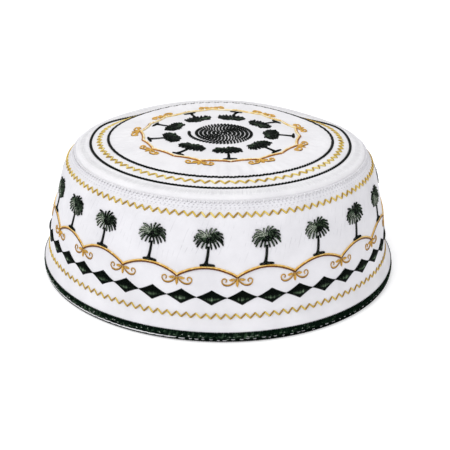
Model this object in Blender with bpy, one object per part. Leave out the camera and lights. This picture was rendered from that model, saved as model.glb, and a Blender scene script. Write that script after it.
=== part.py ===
"""Round prayer cap of stiffened white cotton: a tapering side band, a gently domed
crown sewn to its upper edge, and a bound rim that flares outwards at the foot.
The cap stands on its rim, centred on the Z axis. Metres, +Z up."""

from math import atan2, degrees, hypot, pi, radians

import bmesh
import bpy
from mathutils import Vector

# Driving sizes
RIM_RADIUS = 0.0920      # outermost reach of the bound rim
CAP_HEIGHT = 0.0677      # floor to the middle of the crown
ROLL = 0.0036            # how far the bound rim stands out past the wall
TAPER = 0.0148           # how far the wall leans in from its foot to the crown seam
CROWN_RISE = 0.0070      # crown seam to the middle of the crown
CLOTH = 0.0016           # cotton with its stiffening
BINDING_HEIGHT = 0.0052  # height of the bound edge
BINDING = 0.0010         # thickness of the binding inside and under the wall
GAP = 0.0003             # clearance between neighbouring pieces
SAG = 0.0013             # deepest settling of the crown's edge

# Sizes that follow
WALL_RADIUS = RIM_RADIUS - ROLL
SEAM_RADIUS = WALL_RADIUS - TAPER
SEAM_HEIGHT = CAP_HEIGHT - CROWN_RISE
CLOTH_FOOT = BINDING + GAP

SEGMENTS = 72            # facets around
SMOOTH_BELOW = 50.0      # degrees between facets that are still shaded as one curve

# Outer face of the wall above the bound rim: share of SEAM_HEIGHT, share of TAPER
WALL_OUTLINE = (
    # height, lean
    (0.155, 0.010),
    (0.245, 0.045),
    (0.335, 0.105),
    (0.495, 0.208),
    (0.660, 0.350),
    (0.775, 0.472),
    (0.857, 0.582),
    (0.914, 0.690),
    (0.955, 0.803),
    (0.982, 0.905),
    (1.000, 1.000),
)

# Outer face of the crown, seam to middle: share of its radius, share of CROWN_RISE.
# A padded strip runs round the edge and stands above the seam.
CROWN_OUTLINE = (
    # radius, rise
    (1.000, 0.060),
    (0.996, 0.220),
    (0.982, 0.340),
    (0.957, 0.415),
    (0.922, 0.455),
    (0.885, 0.500),
    (0.835, 0.610),
    (0.770, 0.745),
    (0.660, 0.850),
    (0.520, 0.920),
    (0.300, 0.970),
    (0.000, 1.000),
)

# Outer face of the bound rim, lip to sole: share of BINDING_HEIGHT, share of ROLL
ROLL_OUTLINE = (
    # height, reach
    (1.000, 0.450),
    (0.930, 0.800),
    (0.720, 0.960),
    (0.450, 1.000),
    (0.180, 0.930),
    (0.000, 0.700),
)

# Inner face of the bound rim, sole to lip: share of BINDING_HEIGHT, share of BINDING
INNER_ROLL_OUTLINE = (
    # height, reach
    (0.000, 0.400),
    (0.150, 1.000),
    (0.850, 1.000),
    (1.000, 0.400),
)

# Where the crown's edge has settled: middle and half of the dip's span in degrees,
# share of SAG. A negative share stands up instead.
SETTLED = (
    # azimuth, half_span, share
    (38.0, 46.0, 1.00),
    (92.0, 48.0, -0.60),
    (150.0, 44.0, 0.55),
)
SETTLES_FROM = 0.55      # share of SEAM_HEIGHT where the wall starts to follow the dip
SETTLES_FULLY = 0.95     # share of SEAM_HEIGHT from where it follows the dip in full


def inwards(points, distance):
    """The same outline moved square to itself, towards the inside of the cap."""
    moved = []
    for i, point in enumerate(points):
        along = points[min(i + 1, len(points) - 1)] - points[max(i - 1, 0)]
        along.normalize()
        moved.append(point + Vector((-along.y, along.x)) * distance)
    return moved


def eased(share):
    """0 to 1 with level ends."""
    share = min(max(share, 0.0), 1.0)
    return share * share * (3 - 2 * share)


def settle(x, y, z):
    """Height of a point after the crown's edge has settled. The rim stays flat."""
    azimuth = degrees(atan2(y, x))
    dip = 0.0
    for middle, half_span, share in SETTLED:
        away = abs((azimuth - middle + 180) % 360 - 180) / half_span
        dip += share * (1 - eased(away))
    height = z / SEAM_HEIGHT
    up_the_wall = eased((height - SETTLES_FROM) / (SETTLES_FULLY - SETTLES_FROM))
    from_middle = eased(hypot(x, y) / SEAM_RADIUS)
    return z - SAG * dip * up_the_wall * from_middle


def turn(name, section, material, closed=True):
    """A solid turned from an (r, z) section about the Z axis, then settled.
    An open section starts and ends on the axis."""
    mesh = bmesh.new()
    corners = [mesh.verts.new((point.x, 0.0, point.y)) for point in section]
    edges = [mesh.edges.new(pair) for pair in zip(corners, corners[1:])]
    if closed:
        edges.append(mesh.edges.new((corners[-1], corners[0])))
    bmesh.ops.spin(
        mesh, geom=corners + edges, cent=(0, 0, 0), axis=(0, 0, 1),
        angle=2 * pi, steps=SEGMENTS, use_merge=True,
    )
    bmesh.ops.remove_doubles(mesh, verts=mesh.verts, dist=CLOTH / 1000)
    for vertex in mesh.verts:
        vertex.co.z = settle(*vertex.co)
    bmesh.ops.recalc_face_normals(mesh, faces=mesh.faces)
    data = bpy.data.meshes.new(name)
    mesh.to_mesh(data)
    mesh.free()
    data.shade_smooth()
    data.set_sharp_from_angle(angle=radians(SMOOTH_BELOW))
    data.materials.append(material)
    piece = bpy.data.objects.new(name, data)
    bpy.context.scene.collection.objects.link(piece)
    return piece


def plain_material(name, colour, roughness):
    """A plain Principled BSDF for cloth or thread."""
    material = bpy.data.materials.new(name)
    material.use_nodes = True
    shader = material.node_tree.nodes["Principled BSDF"]
    shader.inputs["Base Color"].default_value = (*colour, 1.0)
    shader.inputs["Roughness"].default_value = roughness
    shader.inputs["Metallic"].default_value = 0.0
    return material


def side_band():
    """The wall, from its foot inside the binding up to the crown seam."""
    outer = [Vector((WALL_RADIUS, CLOTH_FOOT)), Vector((WALL_RADIUS, BINDING_HEIGHT))]
    outer += [Vector((WALL_RADIUS - TAPER * lean, SEAM_HEIGHT * height))
              for height, lean in WALL_OUTLINE]
    inner = inwards(outer, CLOTH)
    seam_slope = (outer[-1] - outer[-2]).normalized()
    inner[-1] = outer[-1] - Vector((0.0, CLOTH / abs(seam_slope.x)))
    cotton = plain_material("band_cotton", (0.86, 0.85, 0.90), 0.85)
    return turn("side_band", outer + inner[::-1], cotton)


def crown_top():
    """The domed round panel inside the seam."""
    radius = SEAM_RADIUS - GAP
    outer = [Vector((radius * out, SEAM_HEIGHT + CROWN_RISE * rise))
             for out, rise in CROWN_OUTLINE]
    inner = inwards(outer, CLOTH)
    inner[0] = outer[0] - Vector((0.0, CLOTH))
    inner[-1] = outer[-1] - Vector((0.0, CLOTH))
    cotton = plain_material("crown_cotton", (0.86, 0.85, 0.90), 0.85)
    return turn("crown_top", outer[::-1] + inner, cotton, closed=False)


def rim_binding():
    """The bound edge: a roll outside the wall, a flat sole and a thin inner face,
    with a slot that holds the foot of the wall."""
    slot_out = WALL_RADIUS + GAP
    slot_in = WALL_RADIUS - CLOTH - GAP
    outer = [Vector((WALL_RADIUS + ROLL * reach, BINDING_HEIGHT * height))
             for height, reach in ROLL_OUTLINE]
    inner = [Vector((slot_in - BINDING * reach, BINDING_HEIGHT * height))
             for height, reach in INNER_ROLL_OUTLINE]
    slot = [Vector((slot_in, BINDING_HEIGHT)), Vector((slot_in, BINDING)),
            Vector((slot_out, BINDING)), Vector((slot_out, BINDING_HEIGHT))]
    thread = plain_material("dark_green_thread", (0.012, 0.035, 0.022), 0.55)
    return turn("rim_binding", outer + inner + slot, thread)


for old in list(bpy.data.objects):
    bpy.data.objects.remove(old)

side_band()
crown_top()
rim_binding()
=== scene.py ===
# %% [markdown]
# The cap stands on its rim, as it does on a shelf. The frame brings three plain solids at
# their real size: the wall, the crown and the bound rim. Everything below dresses them, so
# each size is either read from the frame or is a real measure of cloth or thread in mm.

# %% Load the frame
from math import cos, pi, radians, sin

import bpy
import numpy as np
from mathutils import Matrix, Vector


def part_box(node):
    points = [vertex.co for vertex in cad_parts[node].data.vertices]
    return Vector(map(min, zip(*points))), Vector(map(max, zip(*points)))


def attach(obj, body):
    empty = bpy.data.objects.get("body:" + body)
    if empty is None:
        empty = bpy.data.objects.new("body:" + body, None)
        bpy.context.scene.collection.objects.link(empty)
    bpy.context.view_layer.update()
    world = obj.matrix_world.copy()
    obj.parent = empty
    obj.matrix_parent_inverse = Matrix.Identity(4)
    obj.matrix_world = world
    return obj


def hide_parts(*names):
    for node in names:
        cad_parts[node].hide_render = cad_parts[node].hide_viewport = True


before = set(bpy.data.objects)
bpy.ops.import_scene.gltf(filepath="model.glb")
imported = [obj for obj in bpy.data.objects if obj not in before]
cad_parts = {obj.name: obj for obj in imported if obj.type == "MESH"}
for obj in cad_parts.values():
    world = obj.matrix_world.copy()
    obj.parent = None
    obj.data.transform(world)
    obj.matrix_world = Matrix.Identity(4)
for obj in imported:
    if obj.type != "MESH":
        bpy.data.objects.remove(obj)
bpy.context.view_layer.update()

MM = 0.001
rng = np.random.default_rng(7)

rim_low, rim_high = (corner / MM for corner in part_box("rim_binding"))
band_low, band_high = (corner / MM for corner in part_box("side_band"))
crown_low, crown_high = (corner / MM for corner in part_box("crown_top"))
SEAM_GAP = 0.3      # between the crown and the wall
CROWN_RISE = 7.0    # from the seam to the middle of the crown
CLOTH = 1.6         # cotton with its stiffening
FOOT = 1.3          # where the wall's cloth ends, inside the rim
RIM_RADIUS, RIM_HEIGHT = rim_high.x, rim_high.z
WALL_RADIUS = band_high.x
SEAM_RADIUS = crown_high.x + SEAM_GAP
CAP_HEIGHT = crown_high.z
SEAM_HEIGHT = CAP_HEIGHT - CROWN_RISE
print(f"rim {2 * RIM_RADIUS:.1f} mm across, seam {2 * SEAM_RADIUS:.1f}, height {CAP_HEIGHT:.1f}")

# %% [markdown]
# The cloth could be a Screw modifier on a profile. Embroidery has to lie on it, though, and
# for that the cap is easier as a chart, as a pattern cutter sees it: a place on a panel is
# its turn round the cap and its run along the outline. A panel turns such places into
# points in space, so cloth, stitches and cords all share one surface.

# %% The panels as charts
def curve_through(points, per_span=12):
    """A smooth line through given points, for outlines and for stitched lines."""
    p = np.array(points, float)
    p = np.vstack([2 * p[0] - p[1], p, 2 * p[-1] - p[-2]])
    t = np.linspace(0, 1, per_span, endpoint=False)[:, None]
    spans = [0.5 * (2 * b + (c - a) * t + (2 * a - 5 * b + 4 * c - d) * t**2
                    + (3 * b - a - 3 * c + d) * t**3)
             for a, b, c, d in zip(p, p[1:], p[2:], p[3:])]
    return np.vstack(spans + [p[-2:-1]])


def eased(share):
    """0 to 1 with level ends."""
    share = np.clip(share, 0, 1)
    return share * share * (3 - 2 * share)


def line_runs(line):
    """How far along a line each of its points lies."""
    return np.concatenate([[0], np.cumsum(np.hypot(*np.diff(line, axis=0).T))])


class Panel:
    """One face of the cap. Places on it are (turn in radians, run in mm)."""

    def __init__(self, outline, relief):
        self.line = curve_through(outline)
        self.runs = line_runs(self.line)
        self.length = self.runs[-1]
        self.relief = relief
        along = np.gradient(self.line, axis=0)
        along /= np.hypot(*along.T)[:, None]
        self.normals = np.stack([along[:, 1], -along[:, 0]], -1)

    def read(self, values, run):
        return np.interp(run, self.runs, values)

    def radius(self, run):
        return self.read(self.line[:, 0], run)

    def at_height(self, height):
        return np.interp(height, self.line[:, 1], self.runs)

    def at_radius(self, radius):
        return np.interp(-np.asarray(radius), -self.line[:, 0], self.runs)

    def place(self, turn, run, lift=0.0):
        """Points in mm, lift above the cloth, and the cloth's outward normals there."""
        turn, run, lift = np.broadcast_arrays(turn, run, lift)
        out, up = self.read(self.normals[:, 0], run), self.read(self.normals[:, 1], run)
        normal = np.stack([out * np.cos(turn), out * np.sin(turn), up], -1)
        radius, height = self.radius(run), self.read(self.line[:, 1], run)
        flat = np.stack([radius * np.cos(turn), radius * np.sin(turn),
                         settled(turn, radius, height)], -1)
        above = lift + self.relief(turn, run)
        return flat + normal * above[..., None], normal


# Where the crown's edge has settled, as in the solids
SAG = 1.3
SETTLED = (
    # azimuth, half span, share of SAG
    (38.0, 46.0, 1.00),
    (92.0, 48.0, -0.60),
    (150.0, 44.0, 0.55),
)


def degrees_from(turn, middle):
    """How many degrees a turn lies from a bearing, the short way round."""
    return np.abs((np.degrees(turn) - middle + 180) % 360 - 180)


def settled(turn, radius, height):
    """The height of a place once the crown's edge has settled."""
    dip = 0.0
    for middle, half_span, share in SETTLED:
        dip = dip + share * (1 - eased(degrees_from(turn, middle) / half_span))
    up_the_wall = eased((height / SEAM_HEIGHT - 0.55) / 0.40)
    return height - SAG * dip * up_the_wall * eased(radius / SEAM_RADIUS)


print("the crown's edge has settled by up to", SAG, "mm")

# %% [markdown]
# Stitching draws cloth in. Each stitched ring leaves a shallow groove, the cloth between two
# rings swells a little, and a stiffened wall is never quite round. This one is flattened by
# a millimetre on its right, bulges above its foot on the left and flares out over the rim
# behind, and the crown's edge has sunk at the back. Sculpting could do this, but a formula
# of turn and run moves the stitches with the cloth. Most of it is a few tenths of a
# millimetre, enough for light to find.

# %% Relief of the stitched cloth
LOW_ZIGZAG_HEIGHT, HIGH_ZIGZAG_HEIGHT = 11.5, 56.2
OUTER_RING_RADIUS, INNER_RING_RADIUS, TOP_ZIGZAG_RADIUS = 65.7, 56.8, 61.2


def groove(distance, half_width):
    """1 in the middle of a groove, fading to nothing past its half width."""
    return np.exp(-(distance / half_width) ** 2)


def outer_ring_radius(turn):
    """The outer ring was sewn a little wide at two places towards the back."""
    wide = 2.0 * groove(degrees_from(turn, 24), 15) + 2.4 * groove(degrees_from(turn, 154), 15)
    return OUTER_RING_RADIUS + wide


def rim_relief(turn, run):
    """The rim is a little slimmer on the right than all round."""
    return -0.95 * groove(degrees_from(turn, 3), 30) + 0 * run


def wall_relief(turn, run):
    """How far the wall's cloth stands out, in mm."""
    loose = np.sin(pi * np.clip(run / wall.length, 0, 1))
    slow = 0.18 * np.sin(3 * turn + 0.6) + 0.14 * np.sin(5 * turn + 2.2 + run / 30)
    flattened = -1.05 * groove(degrees_from(turn, 2), 28)
    swell = 0.05 * np.sin(31 * turn + 0.2 * run) * np.sin(0.31 * run + 4 * turn)
    flare = 0.75 * groove(run, 3.0) * eased(0.5 + 1.3 * np.sin(turn))
    slimmer = rim_relief(turn, run) * groove(run, 12)
    bulging = 1.3 * groove(degrees_from(turn, 188), 24) * groove(run - 15, 12)
    low, high = wall.at_height(LOW_ZIGZAG_HEIGHT), wall.at_height(HIGH_ZIGZAG_HEIGHT)
    pulled = groove(run - low, 1.3) + groove(run - high, 1.4)
    seam = groove(run - wall.length + 2.4, 0.6)
    standing = flare + slimmer + bulging + loose * (slow + flattened + swell)
    return standing - 0.16 * pulled - 0.08 * seam


def crown_relief(turn, run):
    """How far the crown's cloth stands out, in mm: pleats, grooves and the padded ring."""
    radius = crown.radius(run)
    slow = 0.22 * np.sin(2 * turn + 0.4) * eased(radius / 40) * (1 - eased(radius / 70 - 0.1))
    gathers = 1 + 0.6 * np.sin(4 * turn + 1.0)
    pleats = 0.22 * gathers * np.sin(66 * turn + 1.4 * np.sin(7 * turn)) * groove(radius - 50, 6)
    x, y = radius * np.cos(turn), radius * np.sin(turn)
    patchy = eased(0.4 + 0.8 * np.sin(0.11 * x + 0.7) * np.sin(0.13 * y + 0.4))
    across = 0.67 * x - 0.74 * y
    pleats += 0.05 * patchy * np.sin(2.35 * across + np.sin(0.2 * x)) * groove(radius - 46, 12)
    pulled = groove(radius - outer_ring_radius(turn), 0.9)
    pulled = pulled + groove(radius - INNER_RING_RADIUS, 0.9)
    between_rings = radius - TOP_ZIGZAG_RADIUS
    padded = groove(between_rings, 3.2) - 0.5 * groove(between_rings, 0.9)
    behind = eased(1.7 * (1 + np.cos(turn - radians(95))) - 2.05)
    sunk = 2.4 * groove(radius - 64.5, 5.0) - 0.70 * groove(radius - 53.6, 2.3)
    return slow + pleats - 0.35 * pulled + 0.12 * padded - sunk * behind


# Outlines as shares, as in the solids. The wall rises and leans in, flaring over the rim at
# its foot: share of the seam's height, share of the taper
WALL_OUTLINE = ((0.079, -0.215), (0.100, -0.150), (0.128, -0.072), (0.160, -0.018),
                (0.245, 0.045), (0.335, 0.105), (0.495, 0.208), (0.660, 0.350), (0.775, 0.472),
                (0.857, 0.582), (0.914, 0.690), (0.955, 0.803), (0.982, 0.905), (1.000, 1.000))
# The crown turns over a padded edge and domes: share of its radius, share of its rise
CROWN_OUTLINE = ((1.000, 0.060), (0.996, 0.220), (0.982, 0.340), (0.957, 0.415), (0.922, 0.455),
                 (0.885, 0.500), (0.835, 0.610), (0.770, 0.745), (0.660, 0.850), (0.520, 0.920),
                 (0.300, 0.970), (0.000, 1.000))

TAPER = WALL_RADIUS - SEAM_RADIUS
wall = Panel([(WALL_RADIUS - TAPER * lean, SEAM_HEIGHT * height)
              for height, lean in WALL_OUTLINE], wall_relief)
crown = Panel([((SEAM_RADIUS - SEAM_GAP) * out, SEAM_HEIGHT + CROWN_RISE * rise)
               for out, rise in CROWN_OUTLINE], crown_relief)
print(f"wall outline {wall.length:.1f} mm long, crown outline {crown.length:.1f} mm")

# %% [markdown]
# A shader graph reads best when each node is one line. The helper below adds a node, sets
# its properties and its sockets, and links any socket whose value is another node's output.
# Colours are written as the hex values that a paint program shows, and turned linear here.

# %% Helpers for materials
def linear(hex_colour):
    """An sRGB hex colour as linear red, green, blue and alpha."""
    parts = [int(hex_colour[i:i + 2], 16) / 255 for i in (1, 3, 5)]
    return tuple(c / 12.92 if c <= 0.04045 else ((c + 0.055) / 1.055) ** 2.4
                 for c in parts) + (1.0,)


def add(material, kind, settings=None, **sockets):
    """Adds one node. A socket given as a node's output is linked, any other is set."""
    node = material.node_tree.nodes.new("ShaderNode" + kind)
    for name, value in (settings or {}).items():
        setattr(node, name, value)
    for name, value in sockets.items():
        name = name.replace("_", " ")
        socket = node.inputs[int(name)] if name.isdigit() else node.inputs[name]
        if isinstance(value, bpy.types.NodeSocket):
            material.node_tree.links.new(value, socket)
        else:
            socket.default_value = value
    return node


def new_material(name):
    """An empty material with its Principled BSDF wired to the output."""
    material = bpy.data.materials.new(name)
    material.use_nodes = True
    return material, material.node_tree.nodes["Principled BSDF"]


def maths(material, operation, first, second):
    """One sum or product of two values, as a node's output."""
    return add(material, "Math", {"operation": operation}, **{"0": first, "1": second}).outputs[0]


def wire(material, shader, **outputs):
    """Links node outputs to the shader's sockets."""
    for name, output in outputs.items():
        material.node_tree.links.new(output, shader.inputs[name.replace("_", " ")])


print("the grey #808080 is", round(linear("#808080")[0], 3), "in linear light")

# %% [markdown]
# The cloth is bleached cotton poplin, plain woven and ironed onto a stiffener. To the eye it
# is matt and bright, with a faint cool cast in the shade. Poplin has about four threads to
# the millimetre, too fine to show here, so the weave is drawn at 0.5 mm and very shallow.
# Slubs, the thicker stretches of a yarn, come from noise stretched along each thread. On the
# wall, between the palms, the stitching has drawn the cloth into faint slanting pull lines,
# painted as shade in the cloth's colour.

# %% Cotton poplin
WEAVE_PITCH = 0.5
PULL_PITCH = 2.4
# A wave texture of scale 1 repeats after this many units
WAVE_PERIOD_AT_ONE = pi / 10


def painted_pull_shade(material, place, low, high):
    """Painted shade of short leaning strokes where the cloth is pulled, between two runs up the
    wall, as a share of darkening.
    """
    leaning = add(material, "Mapping", Vector=place,
                  Rotation=(0.0, 0.0, radians(17))).outputs["Vector"]
    bands = add(material, "TexWave", {"bands_direction": "X"}, Vector=leaning,
                Scale=WAVE_PERIOD_AT_ONE / PULL_PITCH, Distortion=6.0, Detail=2.0,
                Detail_Scale=0.3).outputs["Fac"]
    lines = add(material, "MapRange", Value=bands, From_Min=0.90, To_Max=0.30).outputs[0]
    somewhere = add(material, "TexNoise", Vector=place, Scale=0.19, Detail=1.0).outputs["Fac"]
    patch = add(material, "MapRange", Value=somewhere, From_Min=0.50, From_Max=0.58).outputs[0]
    up = add(material, "SeparateXYZ", Vector=place).outputs["Y"]
    above = add(material, "MapRange", Value=up, From_Min=low - 3, From_Max=low + 3).outputs[0]
    below = add(material, "MapRange", Value=up, From_Min=high + 3, From_Max=high - 3).outputs[0]
    within = maths(material, "MULTIPLY", above, below)
    return maths(material, "MULTIPLY", maths(material, "MULTIPLY", lines, patch), within)


def cotton_poplin(name, shaded, middle, bright, pull_shade_between=None):
    """Plain-woven cotton. Its last argument gives the two runs between which slanting pull lines
    are painted as shade.
    """
    material, shader = new_material(name)
    place = add(material, "UVMap", {"uv_map": "cloth_mm"}).outputs["UV"]
    scale = WAVE_PERIOD_AT_ONE / WEAVE_PITCH
    warp = add(material, "TexWave", {"bands_direction": "X"}, Vector=place, Scale=scale,
               Distortion=0.6, Detail=1.0, Detail_Scale=0.8).outputs["Fac"]
    weft = add(material, "TexWave", {"bands_direction": "Y"}, Vector=place, Scale=scale,
               Distortion=0.6, Detail=1.0, Detail_Scale=0.8).outputs["Fac"]
    weave = maths(material, "MULTIPLY", warp, weft)
    stretched = add(material, "Mapping", Vector=place, Scale=(0.12, 1.6, 1.0)).outputs["Vector"]
    slub = add(material, "TexNoise", Vector=stretched, Scale=1.0, Detail=3.0).outputs["Fac"]
    cloud = add(material, "TexNoise", Vector=place, Scale=0.055, Detail=4.0,
                Roughness=0.6).outputs["Fac"]
    # Along the pull lines the cloth's colour is darkened: painted shade, with no relief of its own.
    if pull_shade_between:
        pull_shade = painted_pull_shade(material, place, *pull_shade_between)
        cloud = maths(material, "SUBTRACT", cloud, pull_shade)
    shade = add(material, "ValToRGB", Fac=cloud)
    shade.color_ramp.elements[0].position = 0.05
    shade.color_ramp.elements[0].color = linear(shaded)
    shade.color_ramp.elements[1].position = 0.70
    shade.color_ramp.elements[1].color = linear(bright)
    shade.color_ramp.elements.new(0.30).color = linear(middle)
    dry = add(material, "MapRange", Value=slub, To_Min=0.74, To_Max=0.92).outputs[0]
    bump = add(material, "Bump", Height=maths(material, "ADD", weave, slub), Strength=0.25,
               Distance=0.00012)
    wire(material, shader, Base_Color=shade.outputs["Color"], Roughness=dry,
         Normal=bump.outputs["Normal"])
    shader.inputs["IOR"].default_value = 1.53
    shader.inputs["Sheen Weight"].default_value = 0.12
    shader.inputs["Sheen Roughness"].default_value = 0.5
    return material


crown_cotton = cotton_poplin("bleached_cotton_poplin", "#cbcace", "#dedde0", "#ebeaec")
# The wall's copy is a few levels darker than the crown's: painted shade for the wall, which the
# light from above reaches less. It also carries the painted shade of the pull lines.
wall_cotton = cotton_poplin("wall_cotton_poplin_painted_shade", "#c5c4c9", "#d8d7db", "#e5e4e8",
                            pull_shade_between=(wall.at_height(37), wall.at_height(53)))
print("cotton weave drawn every", WEAVE_PITCH, "mm")

# %% [markdown]
# A cloth panel is a shell: an outer face, an inner face one cloth thickness behind it, and
# narrow edges. Each is a ring of rows turned round the cap. Building the rows by hand from
# the chart, and not by Solidify, lets both faces carry the same relief and keeps a flat
# pattern in millimetres on every corner for the weave to follow.

# %% Cloth shells
def mesh_from(name, points, faces, corner_places, pattern):
    """A mesh from points in mm, faces as lists of point numbers, and a flat pattern place
    for each corner."""
    mesh = bpy.data.meshes.new(name)
    mesh.from_pydata(points * MM, [], faces)
    layer = mesh.uv_layers.new(name=pattern)
    layer.data.foreach_set("uv", np.asarray(corner_places, np.float32).ravel())
    return mesh


def piece_from(mesh, material):
    """An object of the mesh's name, in its material, that belongs to the cap."""
    mesh.shade_smooth()
    mesh.materials.append(material)
    piece = bpy.data.objects.new(mesh.name, mesh)
    bpy.context.scene.collection.objects.link(piece)
    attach(piece, "root")
    return piece


def turned_faces(rows, columns, joined):
    """Quads between rows of points round the cap. joined closes the last row to the first."""
    i, j = np.meshgrid(np.arange(rows if joined else rows - 1), np.arange(columns), indexing="ij")
    i, j = i.ravel(), j.ravel()
    below, above = i % rows, (i + 1) % rows
    corners = np.stack([below * columns + j, below * columns + (j + 1) % columns,
                        above * columns + (j + 1) % columns, above * columns + j], -1)
    return corners, np.stack([i, i, i + 1, i + 1], -1), np.stack([j, j + 1, j + 1, j], -1)


def level_ring(turns, radius, height):
    """Points round the cap at one radius and height, with no relief."""
    return np.stack([radius * np.cos(turns), radius * np.sin(turns),
                     np.full(turns.shape, height)], -1)


COLUMNS = 560


def wall_cloth():
    """The wall: up its outer face, down its inner face, and round its foot in the rim."""
    turns = np.arange(COLUMNS) * 2 * pi / COLUMNS
    outer_runs = np.concatenate([np.linspace(0, 8, 12), np.linspace(8.8, wall.length, 62)])
    inner_runs = np.linspace(wall.length - 0.2, 12, 9)
    rows = [wall.place(turns, run)[0] for run in outer_runs]
    rows += [wall.place(turns, run, -CLOTH)[0] for run in inner_runs]
    foot = [(WALL_RADIUS - CLOTH, 9.0), (WALL_RADIUS - CLOTH, FOOT), (WALL_RADIUS, FOOT),
            (WALL_RADIUS, RIM_HEIGHT - 0.9)]
    rows += [level_ring(turns, radius, height) for radius, height in foot]
    runs = np.concatenate([outer_runs, inner_runs, [9.0, FOOT, FOOT - 1, FOOT - 3, -1.0]])
    faces, row, column = turned_faces(len(rows), COLUMNS, joined=True)
    across = column * 2 * pi / COLUMNS * wall.radius(wall.length / 2)
    mesh = mesh_from("wall_cloth", np.concatenate(rows), faces.tolist(),
                     np.stack([across, runs[row]], -1), "cloth_mm")
    return piece_from(mesh, wall_cotton)


def crown_cloth():
    """The crown: its underside outwards, over the edge, and its outer face inwards."""
    turns = np.arange(COLUMNS) * 2 * pi / COLUMNS
    near_middle = crown.length - 0.4
    inner_runs = np.linspace(near_middle, 2.6, 9)
    outer_runs = np.concatenate([np.linspace(0, 8, 14), np.linspace(8.7, near_middle, 46)])
    rows = [crown.place(turns, run, -CLOTH)[0] for run in inner_runs]
    outer_rows = [crown.place(turns, run)[0] for run in outer_runs]
    rows += [outer_rows[0] - [0, 0, CLOTH]] + outer_rows
    faces, _, _ = turned_faces(len(rows), COLUMNS, joined=False)
    points = np.concatenate(rows)
    underside = np.arange(COLUMNS)[::-1]
    top = len(points) - COLUMNS + np.arange(COLUMNS)
    corners = np.concatenate([faces.ravel(), underside, top])
    mesh = mesh_from("crown_cloth", points, faces.tolist() + [underside.tolist(), top.tolist()],
                     points[corners][:, :2], "cloth_mm")
    return piece_from(mesh, crown_cotton)


band_piece = wall_cloth()
crown_piece = crown_cloth()
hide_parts("side_band")
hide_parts("crown_top")
print("cloth faces:", len(band_piece.data.polygons), "and", len(crown_piece.data.polygons))

# %% [markdown]
# Embroidery thread is drawn as real thread: every stitch is a thin tube that comes up out
# of the cloth, arches over and goes down again. Curves with a bevel would do for a few, but
# there are thousands, so a skein collects them as arrays and makes one mesh. A stitch has
# its own small change of tone, because each catches the light and takes the dye its own way.

# %% The skein
class Skein:
    """Gathers stitches and turns them into one mesh of closed tubes."""

    def __init__(self, sides=5):
        self.sides = sides
        self.points, self.quads, self.places, self.tones, self.ends = [], [], [], [], []
        self.count = 0

    def lay(self, panel, turn, run, lift, wide, high, tone=0.0):
        """Lays n threads of m points. Every argument is an array of n rows and m columns, or
        fits one. turn, run and lift place the thread's middle line, wide and high are half
        its width and height, and tone makes it paler."""
        turn, run, lift, wide, high, tone = np.broadcast_arrays(turn, run, lift, wide, high, tone)
        n, m = turn.shape
        centre, normal = panel.place(turn, run, lift)
        along = np.gradient(centre, axis=1)
        side = np.cross(along, normal)
        side /= np.linalg.norm(side, axis=-1, keepdims=True)
        up = np.cross(side, along)
        up /= np.linalg.norm(up, axis=-1, keepdims=True)
        angle = pi / 2 + np.arange(self.sides) * 2 * pi / self.sides
        tube = (centre[:, :, None] + side[:, :, None] * (wide[..., None] * np.cos(angle))[..., None]
                + up[:, :, None] * (high[..., None] * np.sin(angle))[..., None])
        k = np.arange(self.sides)
        ring = np.arange(m - 1)[:, None] * self.sides
        loop = np.stack([ring + k, ring + self.sides + k, ring + self.sides + (k + 1) % self.sides,
                         ring + (k + 1) % self.sides], -1).reshape(-1, 4)
        starts = self.count + np.arange(n) * m * self.sides
        self.quads.append((starts[:, None, None] + loop).reshape(-1, 4))
        first = k
        last = (m - 1) * self.sides + k[::-1]
        self.ends.append((starts[:, None, None] + np.stack([first, last])).reshape(-1, self.sides))
        length = np.linalg.norm(np.diff(centre, axis=1), axis=-1)
        gone = np.concatenate([np.zeros((n, 1)), np.cumsum(length, 1)], 1)
        u = np.repeat(gone[:, :, None], self.sides, 2)
        v = np.broadcast_to(k / self.sides, u.shape)
        step = np.broadcast_to(1 / self.sides, v[:, :-1].shape)
        places = np.stack([
            np.stack([u[:, :-1], v[:, :-1]], -1), np.stack([u[:, 1:], v[:, :-1]], -1),
            np.stack([u[:, 1:], v[:, :-1] + step], -1), np.stack([u[:, :-1], v[:, :-1] + step], -1),
        ], 3)
        self.places.append(places.reshape(-1, 4, 2))
        self.points.append(tube.reshape(-1, 3))
        own = tone + rng.uniform(-0.35, 0.35, (n, 1))
        self.tones.append(np.repeat(own.ravel(), self.sides))
        self.count += n * m * self.sides

    def finish(self, name, material, slot):
        """Makes one mesh of all the stitches laid."""
        points, quads, ends = (np.concatenate(x) for x in (self.points, self.quads, self.ends))
        corner_places = np.zeros((len(quads) * 4 + ends.size, 2))
        corner_places[:len(quads) * 4] = np.concatenate(self.places).reshape(-1, 2)
        mesh = mesh_from(name, points, quads.tolist() + ends.tolist(), corner_places, "thread_mm")
        tone = mesh.attributes.new("tone", "FLOAT", "POINT")
        tone.data.foreach_set("value", np.concatenate(self.tones).astype(np.float32))
        triangles = 2 * len(quads) + (self.sides - 2) * len(ends)
        print(f"{name}: {len(ends) // 2} stitches, {triangles} triangles")
        return piece_from(mesh, material)


# %% [markdown]
# The embroidery's threads are two-ply viscose, spun bright and twisted. That gives the eye a
# silky streak along each stitch and fine diagonal lines where the plies wrap each other.
# The thread that binds the rim and the white sewing thread are cotton and duller. One recipe
# serves all of them, with the dye's shades, paler painted highlight colours up to a glint, and
# its gloss and sheen as its arguments. Each stitch's tone picks its colour: a little at random,
# and paler where a highlight is painted. The twist of a 0.4 mm thread turns every 0.8 mm.

# %% Threads
PLY_PITCH = 0.8


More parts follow.
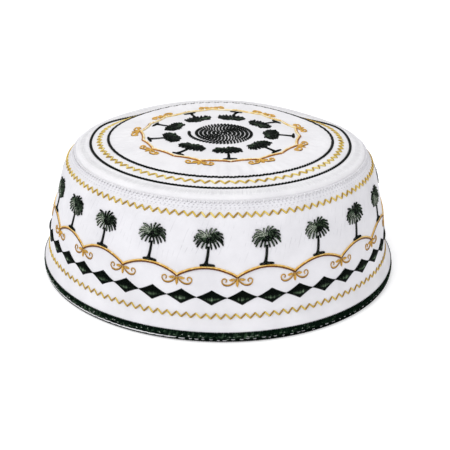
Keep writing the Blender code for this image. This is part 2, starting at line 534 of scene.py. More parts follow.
def twisted_thread(name, dark, middle, light, glint, roughness, gloss, sheen):
    """Two-ply thread. A stitch's tone moves its colour from dark to glint."""
    material, shader = new_material(name)
    tone = add(material, "Attribute", {"attribute_name": "tone"}).outputs["Fac"]
    place = add(material, "UVMap", {"uv_map": "thread_mm"}).outputs["UV"]
    patches = add(material, "TexNoise", Vector=add(material, "TexCoord").outputs["Object"],
                  Scale=400.0, Detail=2.0).outputs["Fac"]
    mottled = add(material, "MapRange", Value=patches, From_Min=0.3, From_Max=0.7,
                  To_Min=-0.15, To_Max=0.15).outputs[0]
    dyed = maths(material, "ADD", tone, mottled)
    share = add(material, "MapRange", Value=dyed, From_Min=-1.0, From_Max=1.5).outputs[0]
    colour = add(material, "ValToRGB", Fac=share)
    colour.color_ramp.elements[0].position = 0.15
    colour.color_ramp.elements[0].color = linear(dark)
    colour.color_ramp.elements[1].position = 1.0
    colour.color_ramp.elements[1].color = linear(glint)
    colour.color_ramp.elements.new(0.62).color = linear(middle)
    colour.color_ramp.elements.new(0.88).color = linear(light)
    slanted = add(material, "Mapping", Vector=place,
                  Scale=(1 / PLY_PITCH, 2.0, 1.0)).outputs["Vector"]
    plies = add(material, "TexWave", {"bands_direction": "DIAGONAL"}, Vector=slanted,
                Scale=2 * WAVE_PERIOD_AT_ONE).outputs["Fac"]
    bump = add(material, "Bump", Height=plies, Strength=0.5, Distance=0.0002)
    wire(material, shader, Base_Color=colour.outputs["Color"], Normal=bump.outputs["Normal"])
    shader.inputs["Roughness"].default_value = roughness
    shader.inputs["IOR"].default_value = 1.53
    shader.inputs["Specular IOR Level"].default_value = gloss
    shader.inputs["Sheen Weight"].default_value = sheen
    shader.inputs["Sheen Roughness"].default_value = 0.4
    return material


green_viscose = twisted_thread("dark_green_viscose", "#000301", "#020d06", "#667d62", "#ccd1c4",
                               roughness=0.36, gloss=0.07, sheen=0.0)
rim_cotton = twisted_thread("dark_green_cotton", "#000301", "#04180d", "#5d7a5e", "#c4cbc1",
                            roughness=0.60, gloss=0.03, sheen=0.0)
gold_viscose = twisted_thread("gold_viscose", "#ab7e28", "#e6b654", "#f8de9a", "#fdf1cc",
                              roughness=0.42, gloss=0.25, sheen=0.05)
old_gold_viscose = twisted_thread("old_gold_viscose", "#9a7626", "#d9ba4e", "#f3df8a", "#fbf0b8",
                                  roughness=0.42, gloss=0.25, sheen=0.05)
brown_viscose = twisted_thread("golden_brown_viscose", "#4a2203", "#7c4209", "#ae6c20", "#c88a3c",
                               roughness=0.42, gloss=0.20, sheen=0.05)
white_sewing = twisted_thread("white_sewing_thread", "#cfced2", "#e6e5e8", "#f4f4f5", "#f7f7f8",
                              roughness=0.60, gloss=0.20, sheen=0.05)
threads = (green_viscose, rim_cotton, gold_viscose, old_gold_viscose, brown_viscose, white_sewing)
print("threads:", ", ".join(thread.name for thread in threads))

# %% [markdown]
# An embroiderer draws a motif flat and then transfers it. A spot does the transfer: it is a
# function that takes flat x, y in millimetres, x to the right and y up, and gives the place
# on the panel. On the wall y climbs towards the crown, and on the crown it runs inwards.
# Projecting the motif with Shrinkwrap would squeeze it where the wall turns away.

# %% Spots on the cap
def wall_spot(azimuth, height):
    """A place for a motif on the wall."""
    start = wall.at_height(height)

    def spot(x, y):
        run = start + y
        return radians(azimuth) + x / wall.radius(run), run
    return spot


def crown_spot(azimuth, radius):
    """A place for a motif on the crown, its foot outwards."""
    a = radians(azimuth)

    def spot(x, y):
        out = radius - y
        px, py = out * cos(a) - x * sin(a), out * sin(a) + x * cos(a)
        return np.arctan2(py, px), crown.at_radius(np.hypot(px, py))
    return spot


def ring_spot(panel, start):
    """For lines that go right round: x is the distance round the ring at its own radius."""
    def spot(x, y):
        return x / panel.radius(start), start + y
    return spot


def seen_from_above(aside=0.0, back=0.0):
    """For lines drawn on the whole crown, x and y from its middle, moved a little."""
    def spot(x, y):
        return np.arctan2(y + back, x + aside), crown.at_radius(np.hypot(x + aside, y + back))
    return spot


turned_by, run_there = wall_spot(270, 20)(5.0, 10.0)
print(f"5 mm right and 10 mm up from the wall's front: turn {turned_by:.3f}, run {run_there:.1f}")

# %% [markdown]
# Two ways to stitch make all the embroidery. Satin fills a shape: threads lie side by side
# between two rails, and where they bend over their padding they catch the light, and a paler
# tone paints a highlight there as well. Rope follows a line: slanting stitches overlap and
# look twisted. Both take flat lines in millimetres, so a motif is drawn once and laid at any
# spot.

# %% Two ways to stitch
def along_line(line, distance):
    """Points at given distances along a flat line, and the line's left-hand normals there."""
    runs = line_runs(line)
    distance = np.asarray(distance)
    at = np.stack([np.interp(distance, runs, line[:, i]) for i in (0, 1)], -1)
    ahead = np.stack([np.interp(distance + 0.15, runs, line[:, i]) for i in (0, 1)], -1)
    behind = np.stack([np.interp(distance - 0.15, runs, line[:, i]) for i in (0, 1)], -1)
    d = ahead - behind
    d /= np.maximum(np.hypot(d[..., 0], d[..., 1]), 1e-9)[..., None]
    return at, np.stack([-d[..., 1], d[..., 0]], -1)


def arch(share, rise, sink):
    """A stitch's height over the cloth: under it at both ends, level across the middle."""
    return rise - (rise + sink) * np.abs(2 * share - 1) ** 3


def satin(skein, panel, spot, left, right, pitch, thread, pad=0.0, points=5, base=0.0,
          painted_shine=0.0, crest=0.5, lean=0.35, narrow=0.20):
    """Fills the shape between two flat rails with stitches laid side by side, over padding
    that is pad high where the shape is widest. thread is a stitch's thickness, drawn a
    quarter stouter so that little cloth shows between. Each stitch ends lean stitches
    further along. At the share crest of its length, where it bends over, it is painted
    paler, a highlight whose strength is an argument."""
    length = 0.5 * (line_runs(left)[-1] + line_runs(right)[-1])
    n = max(int(round(length / pitch)), 2)
    share = (np.arange(n) + 0.5) / n
    a = along_line(left, share * line_runs(left)[-1])[0]
    b = along_line(right, np.clip(share + lean / n, 0, 1) * line_runs(right)[-1])[0]
    reach = np.hypot(*(b - a).T)
    t = np.linspace(0, 1, points)
    flat = a[:, None] + (b - a)[:, None] * t[:, None]
    turn, run = spot(flat[..., 0], flat[..., 1])
    full = np.clip(reach / max(reach.max(), 1e-6), 0, 1)[:, None]
    hump = pad * full * (1 - (2 * t - 1) ** 2)
    high = thread * np.array([0.55] + [1.0] * (points - 2) + [0.55])
    # The paler tone at the crest is a painted highlight.
    tone = painted_shine * full * groove(t - crest, narrow)
    skein.lay(panel, turn, run, base + arch(t, 0.55 * thread, 0.9 * thread) + hump,
              0.62 * thread, 0.62 * high, tone)


def rope(skein, panel, spot, line, stitch, spacing, slant, thread, base=0.0, points=6,
         tone=0.0):
    """Slanted stitches of a given length and spacing along a flat line, which read as a
    twisted rope where they overlap. slant is how far each leans to either side, and thread
    is half its width."""
    length = line_runs(line)[-1]
    n = max(int(round(length / spacing)), 1)
    middle = (np.arange(n) + 0.5) * length / n
    t = np.linspace(0, 1, points)
    distance = middle[:, None] + (t - 0.5) * stitch
    at, normal = along_line(line, np.clip(distance, 0, length))
    flat = at + normal * (slant * (2 * t - 1))[None, :, None]
    turn, run = spot(flat[..., 0], flat[..., 1])
    taper = 1 - 0.5 * np.abs(2 * t - 1) ** 2
    skein.lay(panel, turn, run, base + arch(t, 0.6 * thread, 0.8 * thread),
              thread * taper, 0.9 * thread * taper, tone)


def ring_line(panel, start, points=720):
    """The flat line of a whole ring, closed by its last point."""
    x = np.linspace(0, 2 * pi * panel.radius(start), points)
    return np.stack([x, np.zeros(points)], -1)


half_wide = 0.4
stands = arch(0.5, 0.6 * half_wide, 0.8 * half_wide) + 0.9 * half_wide
print(f"a rope stitch {2 * half_wide:.1f} mm wide stands {stands:.2f} mm high")

# %% [markdown]
# The zigzags are one long thread from peak to peak, the plain ornamental stitch of a sewing
# machine. Each leg is a stitch of its own. Their tension differs a little, so the peaks are
# not quite in line. Legs that lean one way lie across the light, and a paler tone paints
# their sheen.

# %% Gold zigzags
def zigzag(name, panel, start, legs, depth, thread, paler):
    """One zigzag right round a panel, depth mm from peaks to troughs. thread is half its
    width, and paler adds to its tone."""
    turn = np.arange(legs + 1) * 2 * pi / legs
    side = np.where(np.arange(legs + 1) % 2 == 0, -0.5, 0.5) * depth
    jitter = rng.normal(0, 0.05, (legs + 1, 2))
    jitter[-1] = jitter[0]
    turn = turn + jitter[:, 0] / panel.radius(start)
    run = start + side + jitter[:, 1]
    t = np.linspace(-0.06, 1.06, 6)
    turns = turn[:-1, None] + (turn[1:] - turn[:-1])[:, None] * t
    runs = run[:-1, None] + (run[1:] - run[:-1])[:, None] * t
    share = np.linspace(0, 1, 6)
    # Alternate legs are painted paler and darker: painted sheen and shade of legs across and along
    # the light.
    tone = paler + np.where(np.arange(legs) % 2 == 0, -0.80, 0.30)[:, None]
    skein = Skein(sides=5)
    skein.lay(panel, turns, runs, arch(share, 0.55 * thread, 0.5 * thread), thread,
              0.9 * thread, tone)
    return skein.finish(name, old_gold_viscose, "gold_thread")


ZIGZAGS = (
    # name, panel, run, legs, depth, thread, paler
    ("zigzag_low", wall, wall.at_height(LOW_ZIGZAG_HEIGHT), 250, 2.3, 0.42, 0.1),
    ("zigzag_high", wall, wall.at_height(HIGH_ZIGZAG_HEIGHT), 244, 2.2, 0.42, 0.35),
    ("zigzag_crown", crown, crown.at_radius(TOP_ZIGZAG_RADIUS), 172, 2.3, 0.504, 0.6),
)
for row in ZIGZAGS:
    zigzag(*row)

# %% [markdown]
# Two dark green rings and the spiral in the middle of the crown are rope stitch in stout
# thread. The outer ring was sewn a little wide at two places, and the spiral's stitches lie
# more across the line than along it, so that its turns look serrated. A spiral could be a
# curve with a bevel, but then it would have no stitches.

# %% Green rings and the spiral
def drawn_round(turn, radius):
    """A flat line seen from above, at a radius for each turn."""
    return np.stack([radius * np.cos(turn), radius * np.sin(turn)], -1)


def rope_ring(name, radius_at):
    """A ring on the crown. radius_at gives its radius for each turn."""
    skein = Skein(sides=6)
    turn = np.linspace(0, 2 * pi, 721)
    rope(skein, crown, seen_from_above(), drawn_round(turn, radius_at(turn)),
         stitch=2.0, spacing=1.7, slant=0.52, thread=0.60)
    return skein.finish(name, green_viscose, "dark_green_thread")


def spiral():
    """Wound inwards from a loose end on the left, a little off the crown's middle."""
    turns_in, pitch, outer, loose_end, smallest = 7.2, 2.15, 15.6, 1.6, 0.35
    t = np.linspace(0, 1, 1200)
    turn = radians(172) + t * turns_in * 2 * pi
    radius = outer + loose_end * (1 - eased(t * 22)) - pitch * turns_in * t
    skein = Skein(sides=6)
    rope(skein, crown, seen_from_above(1.1, -0.8),
         drawn_round(turn, np.maximum(radius, smallest)),
         stitch=1.15, spacing=1.75, slant=0.85, thread=0.56)
    return skein.finish("spiral", green_viscose, "dark_green_thread")


rope_ring("ring_outer", outer_ring_radius)
rope_ring("ring_inner", lambda turn: np.full(turn.shape, INNER_RING_RADIUS))
spiral()

# %% [markdown]
# A row of lozenges runs round the wall. Each is satin stitch over a little padding: threads
# side by side from edge to edge, standing proud in the middle, with a hard outline because
# every stitch ends on the drawn edge. Real ones lie 0.3 mm apart, and these 0.4 mm.

# %% Lozenges
LOZENGE_HEIGHT, LOZENGE_COUNT, LOZENGE_FIRST = 20.1, 40, 268.0
LOZENGE_WIDE, LOZENGE_TALL, LOZENGE_TIP = 13.4, 7.6, 0.24


def lozenges():
    """Forty lozenges tip to tip, whose sides curve in very slightly."""
    skein = Skein(sides=4)
    x = np.linspace(-0.5, 0.5, 41) * LOZENGE_WIDE
    narrowing = (1 - np.abs(x) / (0.5 * LOZENGE_WIDE)) ** 1.12
    half = 0.5 * (LOZENGE_TALL * narrowing + LOZENGE_TIP)
    for k in range(LOZENGE_COUNT):
        spot = wall_spot(LOZENGE_FIRST + k * 360 / LOZENGE_COUNT, LOZENGE_HEIGHT)
        # A narrow band of each stitch a little below the middle is painted paler: the satin's
        # highlight.
        satin(skein, wall, spot, np.stack([x, half], -1), np.stack([x, -half], -1),
              pitch=0.40, thread=0.30, pad=0.40, points=9, base=0.05,
              painted_shine=1.25, crest=0.60, narrow=0.13)
    return skein.finish("lozenges", green_viscose, "dark_green_thread")


lozenges()

# %% [markdown]
# The palms are the same satin stitch in narrow leaf shapes. Every frond is a curved column
# that leaves the heart of the tree, arches and droops, and the trunk and the ground line are
# straight columns. A flat patch of dark stitches lies under the fronds, so that each frond's
# crest, painted paler, stands against black, as padded satin does. The fronds that point to a
# given bearing, towards the light, get the most painted highlight. Silk's highlight moves
# with the eye, and here a paler tone stands for it. Stitches lie 0.5 mm apart, where real
# ones lie 0.3 mm, so that they can be told apart.

# %% Palms
FRONDS = 19
FIRST_FROND, LAST_FROND = -79.0, 259.0


def column(line, half_width):
    """The two rails of a satin column along a flat line."""
    at, normal = along_line(line, line_runs(line))
    return at + normal * half_width[:, None], at - normal * half_width[:, None]


def shares_of(line):
    """How far along a line its points lie, from 0 to 1."""
    return line_runs(line) / line_runs(line)[-1]


def frond(heart, angle, wide, tall, vary):
    """A leaf's middle line: out from the heart, up in an arch and down at its tip."""
    up_or_down = 0.50 if 0 < angle < pi else 0.41
    reach = np.array([0.5 * wide * cos(angle), up_or_down * tall * sin(angle)]) * vary
    level = abs(cos(angle))
    aside = 0.09 * wide * max(0.0, sin(angle)) ** 2 * (1 if angle < radians(118) else -1)
    bend = 0.55 * reach + np.array([0.14 * reach[0] - 0.3 * aside, 0.22 * tall * level])
    tip = reach + np.array([aside, -0.10 * tall * level - 0.20 * abs(aside)])
    t = np.linspace(0, 1, 15)[:, None]
    return heart + 2 * t * (1 - t) * bend + t * t * tip


def fronds(skein, panel, spot, heart, wide, tall, leaf_width, sheen, lit_from):
    """Leaves all round the heart, the odd ones starting a little closer and lying higher."""
    for k in range(FRONDS):
        angle = radians(FIRST_FROND + (LAST_FROND - FIRST_FROND) * k / (FRONDS - 1))
        line = frond(heart, angle, wide, tall, 1 + 0.06 * sin(2.4 * k + 0.5))[2 - k % 2:]
        half = 0.10 + 0.5 * leaf_width * np.sin(pi * (0.03 + 0.80 * shares_of(line))) ** 0.9
        left, right = column(line, half)
        # Fronds that point to lit_from get a stronger painted highlight along their crests.
        towards_light = max(0.0, cos(angle - radians(lit_from)))
        satin(skein, panel, spot, left, right, pitch=0.54, thread=0.36, pad=0.15, lean=1.6,
              base=0.12 + 0.08 * (k % 2), painted_shine=sheen * (0.9 + 1.2 * towards_light),
              narrow=0.17)


def dark_patch(skein, panel, spot, heart, wide, tall):
    """An oval of plain stitches that the fronds lie over."""
    x = np.linspace(-0.23, 0.23, 13) * wide
    half = 0.25 * tall * np.sqrt(1 - (x / (0.24 * wide)) ** 2)
    left = np.stack([x + heart[0], heart[1] + half], -1)
    right = np.stack([x + heart[0], heart[1] - half], -1)
    satin(skein, panel, spot, left, right, pitch=0.52, thread=0.38, pad=0.10)


def trunk_and_ground(skein, panel, spot, tall, trunk, lean, sheen):
    """A trunk that swells at its foot and leans, and the strip of ground under it."""
    stem = curve_through([(-0.5, 0.7), (-0.35, 0.25 * trunk), (0.3 * lean, 0.7 * trunk),
                          (0.9 * lean, trunk + 0.15 * tall)], 6)
    left, right = column(stem, np.interp(line_runs(stem), [0, 1.4, trunk], [1.30, 0.78, 0.64]))
    # The trunk and the ground get a weaker painted highlight on their crests; sheen sets all of a
    # palm's painted highlights.
    satin(skein, panel, spot, left, right, pitch=0.50, thread=0.34, pad=0.25, base=0.10,
          painted_shine=0.6 * sheen, lean=1.2)
    x = np.linspace(-3.4, 3.4, 15)
    left = np.stack([x, 0.30 + 1.05 * np.sqrt(1 - (x / 3.6) ** 2)], -1)
    right = np.stack([x, -0.40 + 0.03 * x**2], -1)
    satin(skein, panel, spot, left, right, pitch=0.50, thread=0.34, pad=0.25, base=0.05,
          painted_shine=0.5 * sheen)


def palm(skein, panel, spot, wide, tall, trunk, lean, leaf_width, sheen, lit_from):
    """One palm. Fronds that point to the bearing lit_from, in degrees, get the most painted
    highlight.
    """
    heart = np.array([lean, trunk + 0.47 * tall])
    fronds(skein, panel, spot, heart, wide, tall, leaf_width, sheen, lit_from)
    dark_patch(skein, panel, spot, heart, wide, tall)
    trunk_and_ground(skein, panel, spot, tall, trunk, lean, sheen)


print(FRONDS, "fronds to a palm, from", FIRST_FROND, "to", LAST_FROND, "degrees")

# %% [markdown]
# Twenty palms stand round the wall and nine round the crown, feet outwards. Hand-guided
# sewing leaves a few off their even place, and so do these. On the crown the leaves are seen
# from far off and at a slant, where they merge, so they are broader there.

# %% Palms round the wall and the crown
PALM_BASE_HEIGHT, WALL_PALMS, FIRST_WALL_PALM = 34.5, 20, 266.5
# Palms sewn off their even place: number round the cap, degrees
STRAYED = {5: 5.0, 6: 4.0, 7: 2.0, 14: -2.0, 15: -4.0, 16: 2.2, 17: 1.2}
PALM_BASE_RADIUS, CROWN_PALMS, FIRST_CROWN_PALM = 37.4, 9, 277.0
# Bearings, in degrees, of the painted highlight on the wall palms: in front and at the sides. A
# palm's sheen sets how strong its painted highlights are.
LIT_IN_FRONT, LIT_AT_THE_SIDES = 125.0, 240.0


def wall_palm_bearing(k):
    """Where palm number k stands round the cap, in degrees."""
    return FIRST_WALL_PALM + k * 360 / WALL_PALMS + STRAYED.get(k % WALL_PALMS, 0.0)


def wall_palms():
    skein = Skein(sides=4)
    for k in range(WALL_PALMS):
        bearing = wall_palm_bearing(k)
        to_the_side = eased(degrees_from(radians(bearing), 270) / 60)
        lit_from = LIT_IN_FRONT + (LIT_AT_THE_SIDES - LIT_IN_FRONT) * to_the_side
        palm(skein, wall, wall_spot(bearing, PALM_BASE_HEIGHT), wide=13.0, tall=10.4,
             trunk=7.3, lean=0.5, leaf_width=0.70, sheen=0.98, lit_from=lit_from)
    return skein.finish("palms_wall", green_viscose, "dark_green_thread")


def crown_palms():
    skein = Skein(sides=4)
    for k in range(CROWN_PALMS):
        spot = crown_spot(FIRST_CROWN_PALM + k * 360 / CROWN_PALMS, PALM_BASE_RADIUS)
        palm(skein, crown, spot, wide=14.2, tall=9.0, trunk=7.4, lean=0.3, leaf_width=1.32,
             sheen=0.5, lit_from=LIT_IN_FRONT)
    return skein.finish("palms_crown", green_viscose, "dark_green_thread")


wall_palms()
crown_palms()

# %% [markdown]
# A gold arcade carries the palms. It is two lines of rope stitch side by side, bright gold
# above and golden brown below: two colours of thread, which also paint a lit edge and a shaded
# edge on the line. A golden brown line under each scroll paints its shadow. Each palm stands on
# the top of an arch. Where two arches meet, each ends in a scroll of its own with a bud, and a
# small drop hangs between the scrolls. On the crown the gold is stouter and paler.

# %% Gold arcade
ARCADE_THREAD, SCROLL_THREAD, SCROLL_SHADE = 0.41, 0.30, 0.42
# One scroll, to the right of the meeting point: x outwards and y up, in mm
SCROLL = ((0.30, 0.10), (0.75, -1.25), (1.90, -2.55), (3.70, -3.45), (5.60, -3.35),
          (6.75, -2.30), (6.60, -1.00), (5.50, -0.55), (4.70, -1.30), (5.15, -2.15))
BUD = ((1.15, -0.75), (2.30, -1.15), (3.55, -1.20))
DROP = ((0.0, -0.9), (0.0, -2.4), (0.0, -4.3))


def leaf(skein, panel, spot, points, half_width):
    """A small pointed leaf along a short line."""
    line = curve_through(points, 6)
    left, right = column(line, 0.12 + half_width * np.sin(pi * shares_of(line)) ** 0.8)
    # The leaf's middle is painted paler: its highlight.
    satin(skein, panel, spot, left, right, pitch=0.42, thread=0.33, pad=0.20, base=0.05,
          painted_shine=0.4)


def arcade(gold, brown, panel, spot, pitch, drop, size, stout=1.0, paler=0.0):
    """Half an arch each way from a meeting point. y 0 is at the height of the arches' tops.
    stout widens the gold thread, and paler adds to both threads' tones."""
    meeting = np.array([0.0, -drop])
    for side in (-1, 1):
        mirror = np.array([side, 1.0])
        t = np.linspace(0, 1, 40)
        half_arch = np.stack([0.5 * pitch * t, drop * (np.sin(0.5 * pi * t) ** 0.8 - 1)], -1)
        # The brown row paints the line's shaded edge and the gold row its lit edge, besides being
        # two colours of thread.
        rows = (
            # skein, mm to the line's left, lift, stoutness, tone
            (gold, 0.28, 0.02, stout, 0.65 + paler),
            (brown, -0.32, 0.06, 1.0, -0.1 + 2 * paler),
        )
        for skein, shift, lift, width, tone in rows:
            moved = half_arch + along_line(half_arch, line_runs(half_arch))[1] * shift
            rope(skein, panel, spot, moved * mirror, stitch=3.0, spacing=1.25, slant=0.06,
                 thread=width * ARCADE_THREAD, base=lift, tone=tone)
        scroll = meeting + size * curve_through(SCROLL)
        rope(gold, panel, spot, scroll * mirror, stitch=2.0, spacing=1.0, slant=0.08,
             thread=stout * SCROLL_THREAD, base=0.05, tone=-0.35 + paler)
        # A brown line just under the scroll paints its shadow.
        under = curve_through(SCROLL[:6]) * size + meeting - [0.0, SCROLL_SHADE]
        rope(brown, panel, spot, under * mirror, stitch=2.0, spacing=1.0, slant=0.05,
             thread=0.7 * SCROLL_THREAD)
        leaf(gold, panel, spot, (meeting + size * np.array(BUD)) * mirror, 0.62 * stout)
    leaf(gold, panel, spot, meeting + size * np.array(DROP), 0.68 * stout)


def arcades():
    """Meeting points halfway between neighbouring palms, on the wall and on the crown."""
    gold, brown = Skein(sides=4), Skein(sides=4)
    below_feet = 0.6
    radius = wall.radius(wall.at_height(PALM_BASE_HEIGHT - 2.5))
    for k in range(WALL_PALMS):
        here, after = wall_palm_bearing(k), wall_palm_bearing(k + 1)
        spot = wall_spot(0.5 * (here + after), PALM_BASE_HEIGHT - below_feet)
        arcade(gold, brown, wall, spot, radians(after - here) * radius, drop=4.4, size=1.0)
    step = 360 / CROWN_PALMS
    for k in range(CROWN_PALMS):
        spot = crown_spot(FIRST_CROWN_PALM + (k + 0.5) * step, PALM_BASE_RADIUS + below_feet)
        arcade(gold, brown, crown, spot, radians(step) * (PALM_BASE_RADIUS + 1.5), drop=3.2,
               size=0.98, stout=1.40, paler=0.60)
    gold.finish("arcade_gold", gold_viscose, "gold_thread")
    brown.finish("arcade_brown", brown_viscose, "brown_thread")


arcades()

# %% [markdown]
# The rim is the cloth's edge turned over a cord and wrapped in dark green thread. Under the
# stitches lies a plain roll. It shows through slits in the wrapping and, out of sight, as
# the flat sole that the cap stands on. A torus would be round, so the roll is turned from a
# closed outline. Its outer face and its back, from the inner lip down to the sole's inner
# edge, are charts of their own for the stitches.

# %% The rim's roll
RIM_PROUD = RIM_RADIUS - WALL_RADIUS
# Outer face from sole to upper edge: share of the rim's height, share of how far it stands out
RIM_FACE = ((0.08, 0.69), (0.13, 0.84), (0.22, 0.90), (0.30, 0.88), (0.42, 0.92),
            (0.65, 0.92), (0.82, 0.87), (0.93, 0.77))
# Its back: share of the rim's height, mm from the slot that holds the cloth
RIM_BACK = ((0.98, -0.30), (0.80, -0.75), (0.50, -0.85), (0.25, -0.80), (0.10, -0.40),
            (0.08, 0.60))
SLOT = WALL_RADIUS - CLOTH - SEAM_GAP

rim_face = Panel([(WALL_RADIUS + RIM_PROUD * out, RIM_HEIGHT * height)
                  for height, out in RIM_FACE], rim_relief)
rim_back = Panel([(SLOT + out, RIM_HEIGHT * height) for height, out in RIM_BACK],
                 lambda turn, run: np.zeros(turn.shape))


def rim_roll():
    """Rows up the outer face, over the lip that holds the cloth, and down the back."""
    lip = [(WALL_RADIUS, RIM_HEIGHT - 0.5), (SLOT, RIM_HEIGHT - 0.5)]
    columns, row_apart = 360, 0.8
    turns = np.arange(columns) * 2 * pi / columns
    rows = [rim_face.place(turns, run)[0] for run in rim_face.runs[::6]]
    rows += [level_ring(turns, radius, height) for radius, height in lip]
    rows += [level_ring(turns, radius, height) for radius, height in rim_back.line[::6]]
    faces, row, column = turned_faces(len(rows), columns, joined=True)
    across = column * 2 * pi / columns * RIM_RADIUS
    mesh = mesh_from("rim_roll", np.concatenate(rows), faces.tolist(),
                     np.stack([across, row * row_apart], -1), "thread_mm")
    return piece_from(mesh, rim_cotton)


roll_piece = rim_roll()
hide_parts("rim_binding")
print(f"rim roll {RIM_HEIGHT:.1f} mm high, standing out {RIM_PROUD:.1f} mm from the wall")

# %% [markdown]
# Three kinds of stitch cover the roll's outer face, as an overlocker lays them. Upright ones
# bite into the cloth above and make the beaded upper edge. Slack ends lie across them, and a
# pale tone paints where they catch the light, as pale specks. The lowest row is a cord on the
# very edge, and above it the white looper thread shows as one long streak at the left front and
# as short ones elsewhere. At the right front the wrapping is tight, and hardly any of it shows.

# %% Rim stitches
CORD_TOP_HEIGHT = 1.60


def on_the_right(turn):
    """1 at the right front, where the wrapping is tight, and 0 far from it."""
    return groove(degrees_from(turn, 322), 34)


def rim_wrap(skein, face, count, low, high, slant, thread, base, sink, tone=0.0):
    """Short stitches side by side round the rim, each from low to high on one face."""
    turn = (np.arange(count) * 2 * pi / count)[:, None]
    turn = turn + rng.normal(0, 0.06 / RIM_RADIUS, (count, 1))
    t = np.linspace(0, 1, 6)
    lift = base - sink * np.abs(2 * t - 1) ** 4
    run = low + (high - low) * t
    taper = 1 - 0.35 * np.abs(2 * t - 1) ** 3
    skein.lay(face, turn + slant * (t - 0.5) / RIM_RADIUS, run, lift,
              thread * taper, 0.8 * thread * taper, tone)


def loose_specks(skein, count):
    """Short slack ends of thread that lie across the upright stitches."""
    turn = rng.uniform(0, 2 * pi, (count, 1))
    t = np.linspace(0, 1, 4)
    start = rim_face.at_height(rng.normal(3.0, 0.40, (count, 1)))
    run = start + rng.uniform(-0.5, 0.5, (count, 1)) * t
    length = rng.uniform(0.3, 1.3, (count, 1))
    # The specks' pale tone is a painted glint, weaker at the right front.
    tone = rng.uniform(0.6, 1.6, (count, 1)) - 0.9 * on_the_right(turn)
    skein.lay(rim_face, turn + length * (t - 0.5) / RIM_RADIUS, run,
              0.60 - 0.30 * np.abs(2 * t - 1) ** 4, 0.12, 0.11, tone)


def rim_stitches():
    skein = Skein(sides=4)
    line_run = rim_face.at_height(CORD_TOP_HEIGHT)
    top = rim_face.length
    wraps = (
        # face, count, low, high, slant, thread, base, sink, tone
        (rim_face, 560, line_run + 0.25, top + 0.25, 1.2, 0.50, 0.16, 0.30, 0.35),
        (rim_face, 560, 0.0, line_run - 0.20, 0.9, 0.54, 0.15, 0.15, -0.3),
        (wall, 560, -0.40, 0.20, 0.5, 0.44, -0.02, 0.20, -0.1),
        (rim_back, 460, 0.1, rim_back.length - 2.2, 1.0, 0.56, 0.05, 0.20, 0.0),
        (rim_back, 460, rim_back.length - 2.3, rim_back.length, 0.6, 0.56, -0.05, 0.0, 0.0),
    )
    for wrap in wraps:
        rim_wrap(skein, *wrap)
    loose_specks(skein, 900)
    return skein.finish("rim_stitches", rim_cotton, "dark_green_thread")


def looper_streaks():
    """The white thread above the cord: long and joined where it is in sight."""
    skein = Skein(sides=4)
    count = 170
    turn = np.cumsum(rng.uniform(0.7, 1.3, count))
    turn = (turn * 2 * pi / turn[-1])[:, None]
    in_sight = eased(7 * (np.cos(turn - radians(225)) - 0.77))
    t = np.linspace(0, 1, 6)
    wander = (1 - in_sight) * rng.normal(0, 0.30, (count, 1))
    run = rim_face.at_height(CORD_TOP_HEIGHT + 0.05 * np.sin(9 * turn) + wander)
    length = rng.uniform(0.8, 2.0, (count, 1)) + 3.2 * in_sight
    lift = 0.50 - 0.35 * np.abs(2 * t - 1) ** 4 - 0.40 * on_the_right(turn)
    skein.lay(rim_face, turn + length * (t - 0.5) / RIM_RADIUS, run, lift,
              0.14 + 0.17 * in_sight, 0.18,
              rng.uniform(-0.8, 0.2, (count, 1)) + 1.2 * in_sight)
    return skein.finish("looper_streaks", white_sewing, "white_thread")


rim_stitches()
looper_streaks()

# %% [markdown]
# White sewing thread closes the seam between wall and crown. Fine overcast stitches cover the
# crown's padded edge, stout ones whip the seam itself, and two rows of short stitches run
# below it. They are white on white and show only as fine hatching and as rows of dots. The
# rows' thread is painted a little grey, as shade in their needle holes, and the overcast thread
# painted paler, as light against the shade the stitches cast on each other.

# %% White seam stitches
def seam_stitches():
    """Two rows of short machine stitches, pulled down into the wall's upper edge."""
    skein = Skein(sides=4)
    for below_seam, spacing in ((1.7, 2.0), (3.0, 2.1)):
        start = wall.length - below_seam
        # tone -1.0 greys the thread: painted shade of the needle holes.
        rope(skein, wall, ring_spot(wall, start), ring_line(wall, start), 1.0, spacing, 0.12,
             0.24, base=-0.10, points=5, tone=-1.0)
    return skein.finish("seam_stitches", white_sewing, "white_thread")


def seam_cord():
    """A fine white cord that fills the groove between wall and crown."""
    skein = Skein(sides=6)
    turn = np.linspace(0, 2 * pi, 481)[None]
    skein.lay(wall, turn, wall.length, -0.10, 0.62, 0.62)
    return skein.finish("seam_cord", white_sewing, "white_thread")


def seam_whipping():
    """Stout stitches over the cord, 2 mm apart, with a dot of shade between each two."""
    skein = Skein(sides=5)
    count = 231
    turn = (np.arange(count) * 2 * pi / count)[:, None] + rng.normal(0, 0.0015, (count, 1))
    t = np.linspace(0, 1, 7)
    skein.lay(wall, turn + 0.5 * (t - 0.5) / SEAM_RADIUS, wall.length - 0.95 + 1.1 * t,
              0.62 - 0.75 * np.abs(2 * t - 1) ** 3, 0.40, 0.26, 0.4)
    return skein.finish("seam_whipping", white_sewing, "white_thread")


def edge_overcast():
    """Fine stitches side by side across the padded edge, from the outer ring to the seam."""
    skein = Skein(sides=4)
    count = 680
    turn = (np.arange(count) * 2 * pi / count)[:, None] + rng.normal(0, 0.0008, (count, 1))
    t = np.linspace(0, 1, 6)
    run = crown.at_radius(72.6) + (crown.at_radius(67.1) - crown.at_radius(72.6)) * t
    # tone 1.0 makes the thread paler: painted light against its own shade.
    skein.lay(crown, turn + 0.6 * t / SEAM_RADIUS, run + rng.normal(0, 0.12, (count, 1)),
              arch(t, 0.03, 0.15), 0.17, 0.07, 1.0)
    return skein.finish("edge_overcast", white_sewing, "white_thread")


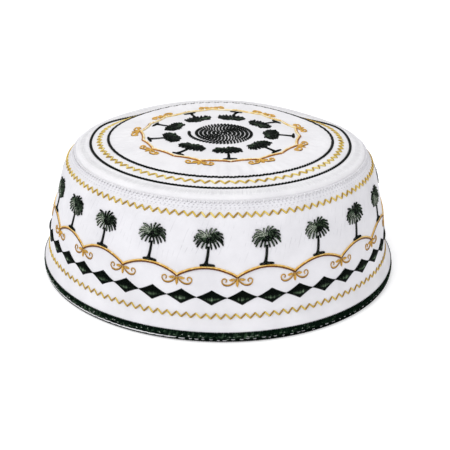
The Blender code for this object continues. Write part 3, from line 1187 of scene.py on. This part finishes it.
def shoulder_hatching():
    """Slanting stitches that hold the stiffening between the zigzag and the seam."""
    skein = Skein(sides=4)
    low = wall.at_height(HIGH_ZIGZAG_HEIGHT) + 1.9
    high = wall.length - 3.4
    count = 300
    turn = (np.arange(count) * 2 * pi / count)[:, None] + rng.normal(0, 0.002, (count, 1))
    t = np.linspace(0, 1, 6)
    run = low + (high - low) * t + rng.normal(0, 0.15, (count, 1))
    skein.lay(wall, turn + 1.4 * t / WALL_RADIUS, run, arch(t, 0.03, 0.25), 0.10, 0.08)
    return skein.finish("shoulder_hatching", white_sewing, "white_thread")


seam_stitches()
seam_cord()
seam_whipping()
edge_overcast()
shoulder_hatching()

# %% [markdown]
# The studio is a pale floor with soft light: one large lamp above and in front on the left,
# a weaker one on the right and one behind, and a bright surround, so that the white cloth
# keeps its form. The floor glows a little: painted light that stands in for paper lit from
# below, so it shows hardly a shadow.

# %% Floor and light
def studio_floor():
    """A wide sheet of pale paper, just under the rim."""
    material, shader = new_material("pale_backdrop_paper")
    place = add(material, "TexCoord").outputs["Object"]
    grain = add(material, "TexNoise", Vector=place, Scale=900.0, Detail=3.0).outputs["Fac"]
    tint = add(material, "ValToRGB", Fac=grain)
    tint.color_ramp.elements[0].color = linear("#dededf")
    tint.color_ramp.elements[1].color = linear("#e2e2e3")
    wire(material, shader, Base_Color=tint.outputs["Color"])
    shader.inputs["Roughness"].default_value = 0.9
    # The glow is painted light that washes out the shadow under the rim.
    shader.inputs["Emission Color"].default_value = linear("#ffffff")
    shader.inputs["Emission Strength"].default_value = 0.45
    bpy.ops.mesh.primitive_plane_add(size=6.0, location=(0, 0, -0.0002))
    floor = bpy.context.object
    floor.name = "studio_floor"
    floor.data.materials.append(material)


def soft_lamp(name, place, aim, size, watts):
    """A square lamp, places and size in metres."""
    light = bpy.data.lights.new(name, "AREA")
    light.shape = "SQUARE"
    light.size = size
    light.energy = watts
    lamp = bpy.data.objects.new(name, light)
    lamp.location = place
    lamp.rotation_euler = (Vector(aim) - Vector(place)).to_track_quat("-Z", "Y").to_euler()
    bpy.context.scene.collection.objects.link(lamp)


studio_floor()
soft_lamp("key_light", (-0.45, -0.45, 0.95), (0, 0, 0.03), 0.6, 6.5)
soft_lamp("fill_light", (0.75, -0.55, 0.45), (0, 0, 0.03), 0.7, 1.5)
soft_lamp("back_light", (0.1, 0.85, 0.75), (0, 0, 0.05), 0.7, 2.5)
world = bpy.data.worlds.new("bright_surround")
bpy.context.scene.world = world
world.use_nodes = True
world.node_tree.nodes["Background"].inputs["Color"].default_value = linear("#fdfdff")
world.node_tree.nodes["Background"].inputs["Strength"].default_value = 0.55
bpy.context.scene.view_settings.view_transform = "Standard"

# %% [markdown]
# The camera stands in front and a little above, where the photographer's did: 0.48 m from
# the cap, 22 degrees up, with a lens of about 73 mm on a full frame, rolled by a degree.

# %% Camera
LOOK_AT = Vector((0, 0, 0.035))
DISTANCE, ELEVATION = 0.4778, radians(22.33)
YAW, PITCH, ROLL_ANGLE = radians(-0.383), radians(2.044), radians(-0.925)
SENSOR, FRAME_PIXELS, FOCAL_PIXELS = 36.0, 450, 912.2


def place_camera():
    """Aims from the front at the cap, then turns a little as the photographer's camera did."""
    back = Vector((0, -cos(ELEVATION), sin(ELEVATION)))
    steep = ELEVATION + PITCH
    view = -Vector((sin(YAW) * cos(steep), -cos(YAW) * cos(steep), sin(steep)))
    right = view.cross(Vector((0, 0, 1))).normalized()
    up = right.cross(view)
    level = Matrix((right, up, -view)).transposed()
    data = bpy.data.cameras.new("studio_camera")
    data.sensor_width = SENSOR
    data.lens = FOCAL_PIXELS * SENSOR / FRAME_PIXELS
    data.clip_start, data.clip_end = 0.01, 20.0
    camera = bpy.data.objects.new("studio_camera", data)
    camera.matrix_world = (Matrix.Translation(LOOK_AT + back * DISTANCE)
                           @ level.to_4x4() @ Matrix.Rotation(-ROLL_ANGLE, 4, "Z"))
    bpy.context.scene.collection.objects.link(camera)
    bpy.context.scene.camera = camera
    print(f"lens {data.lens:.1f} mm at", [round(c, 4) for c in camera.location])


place_camera()
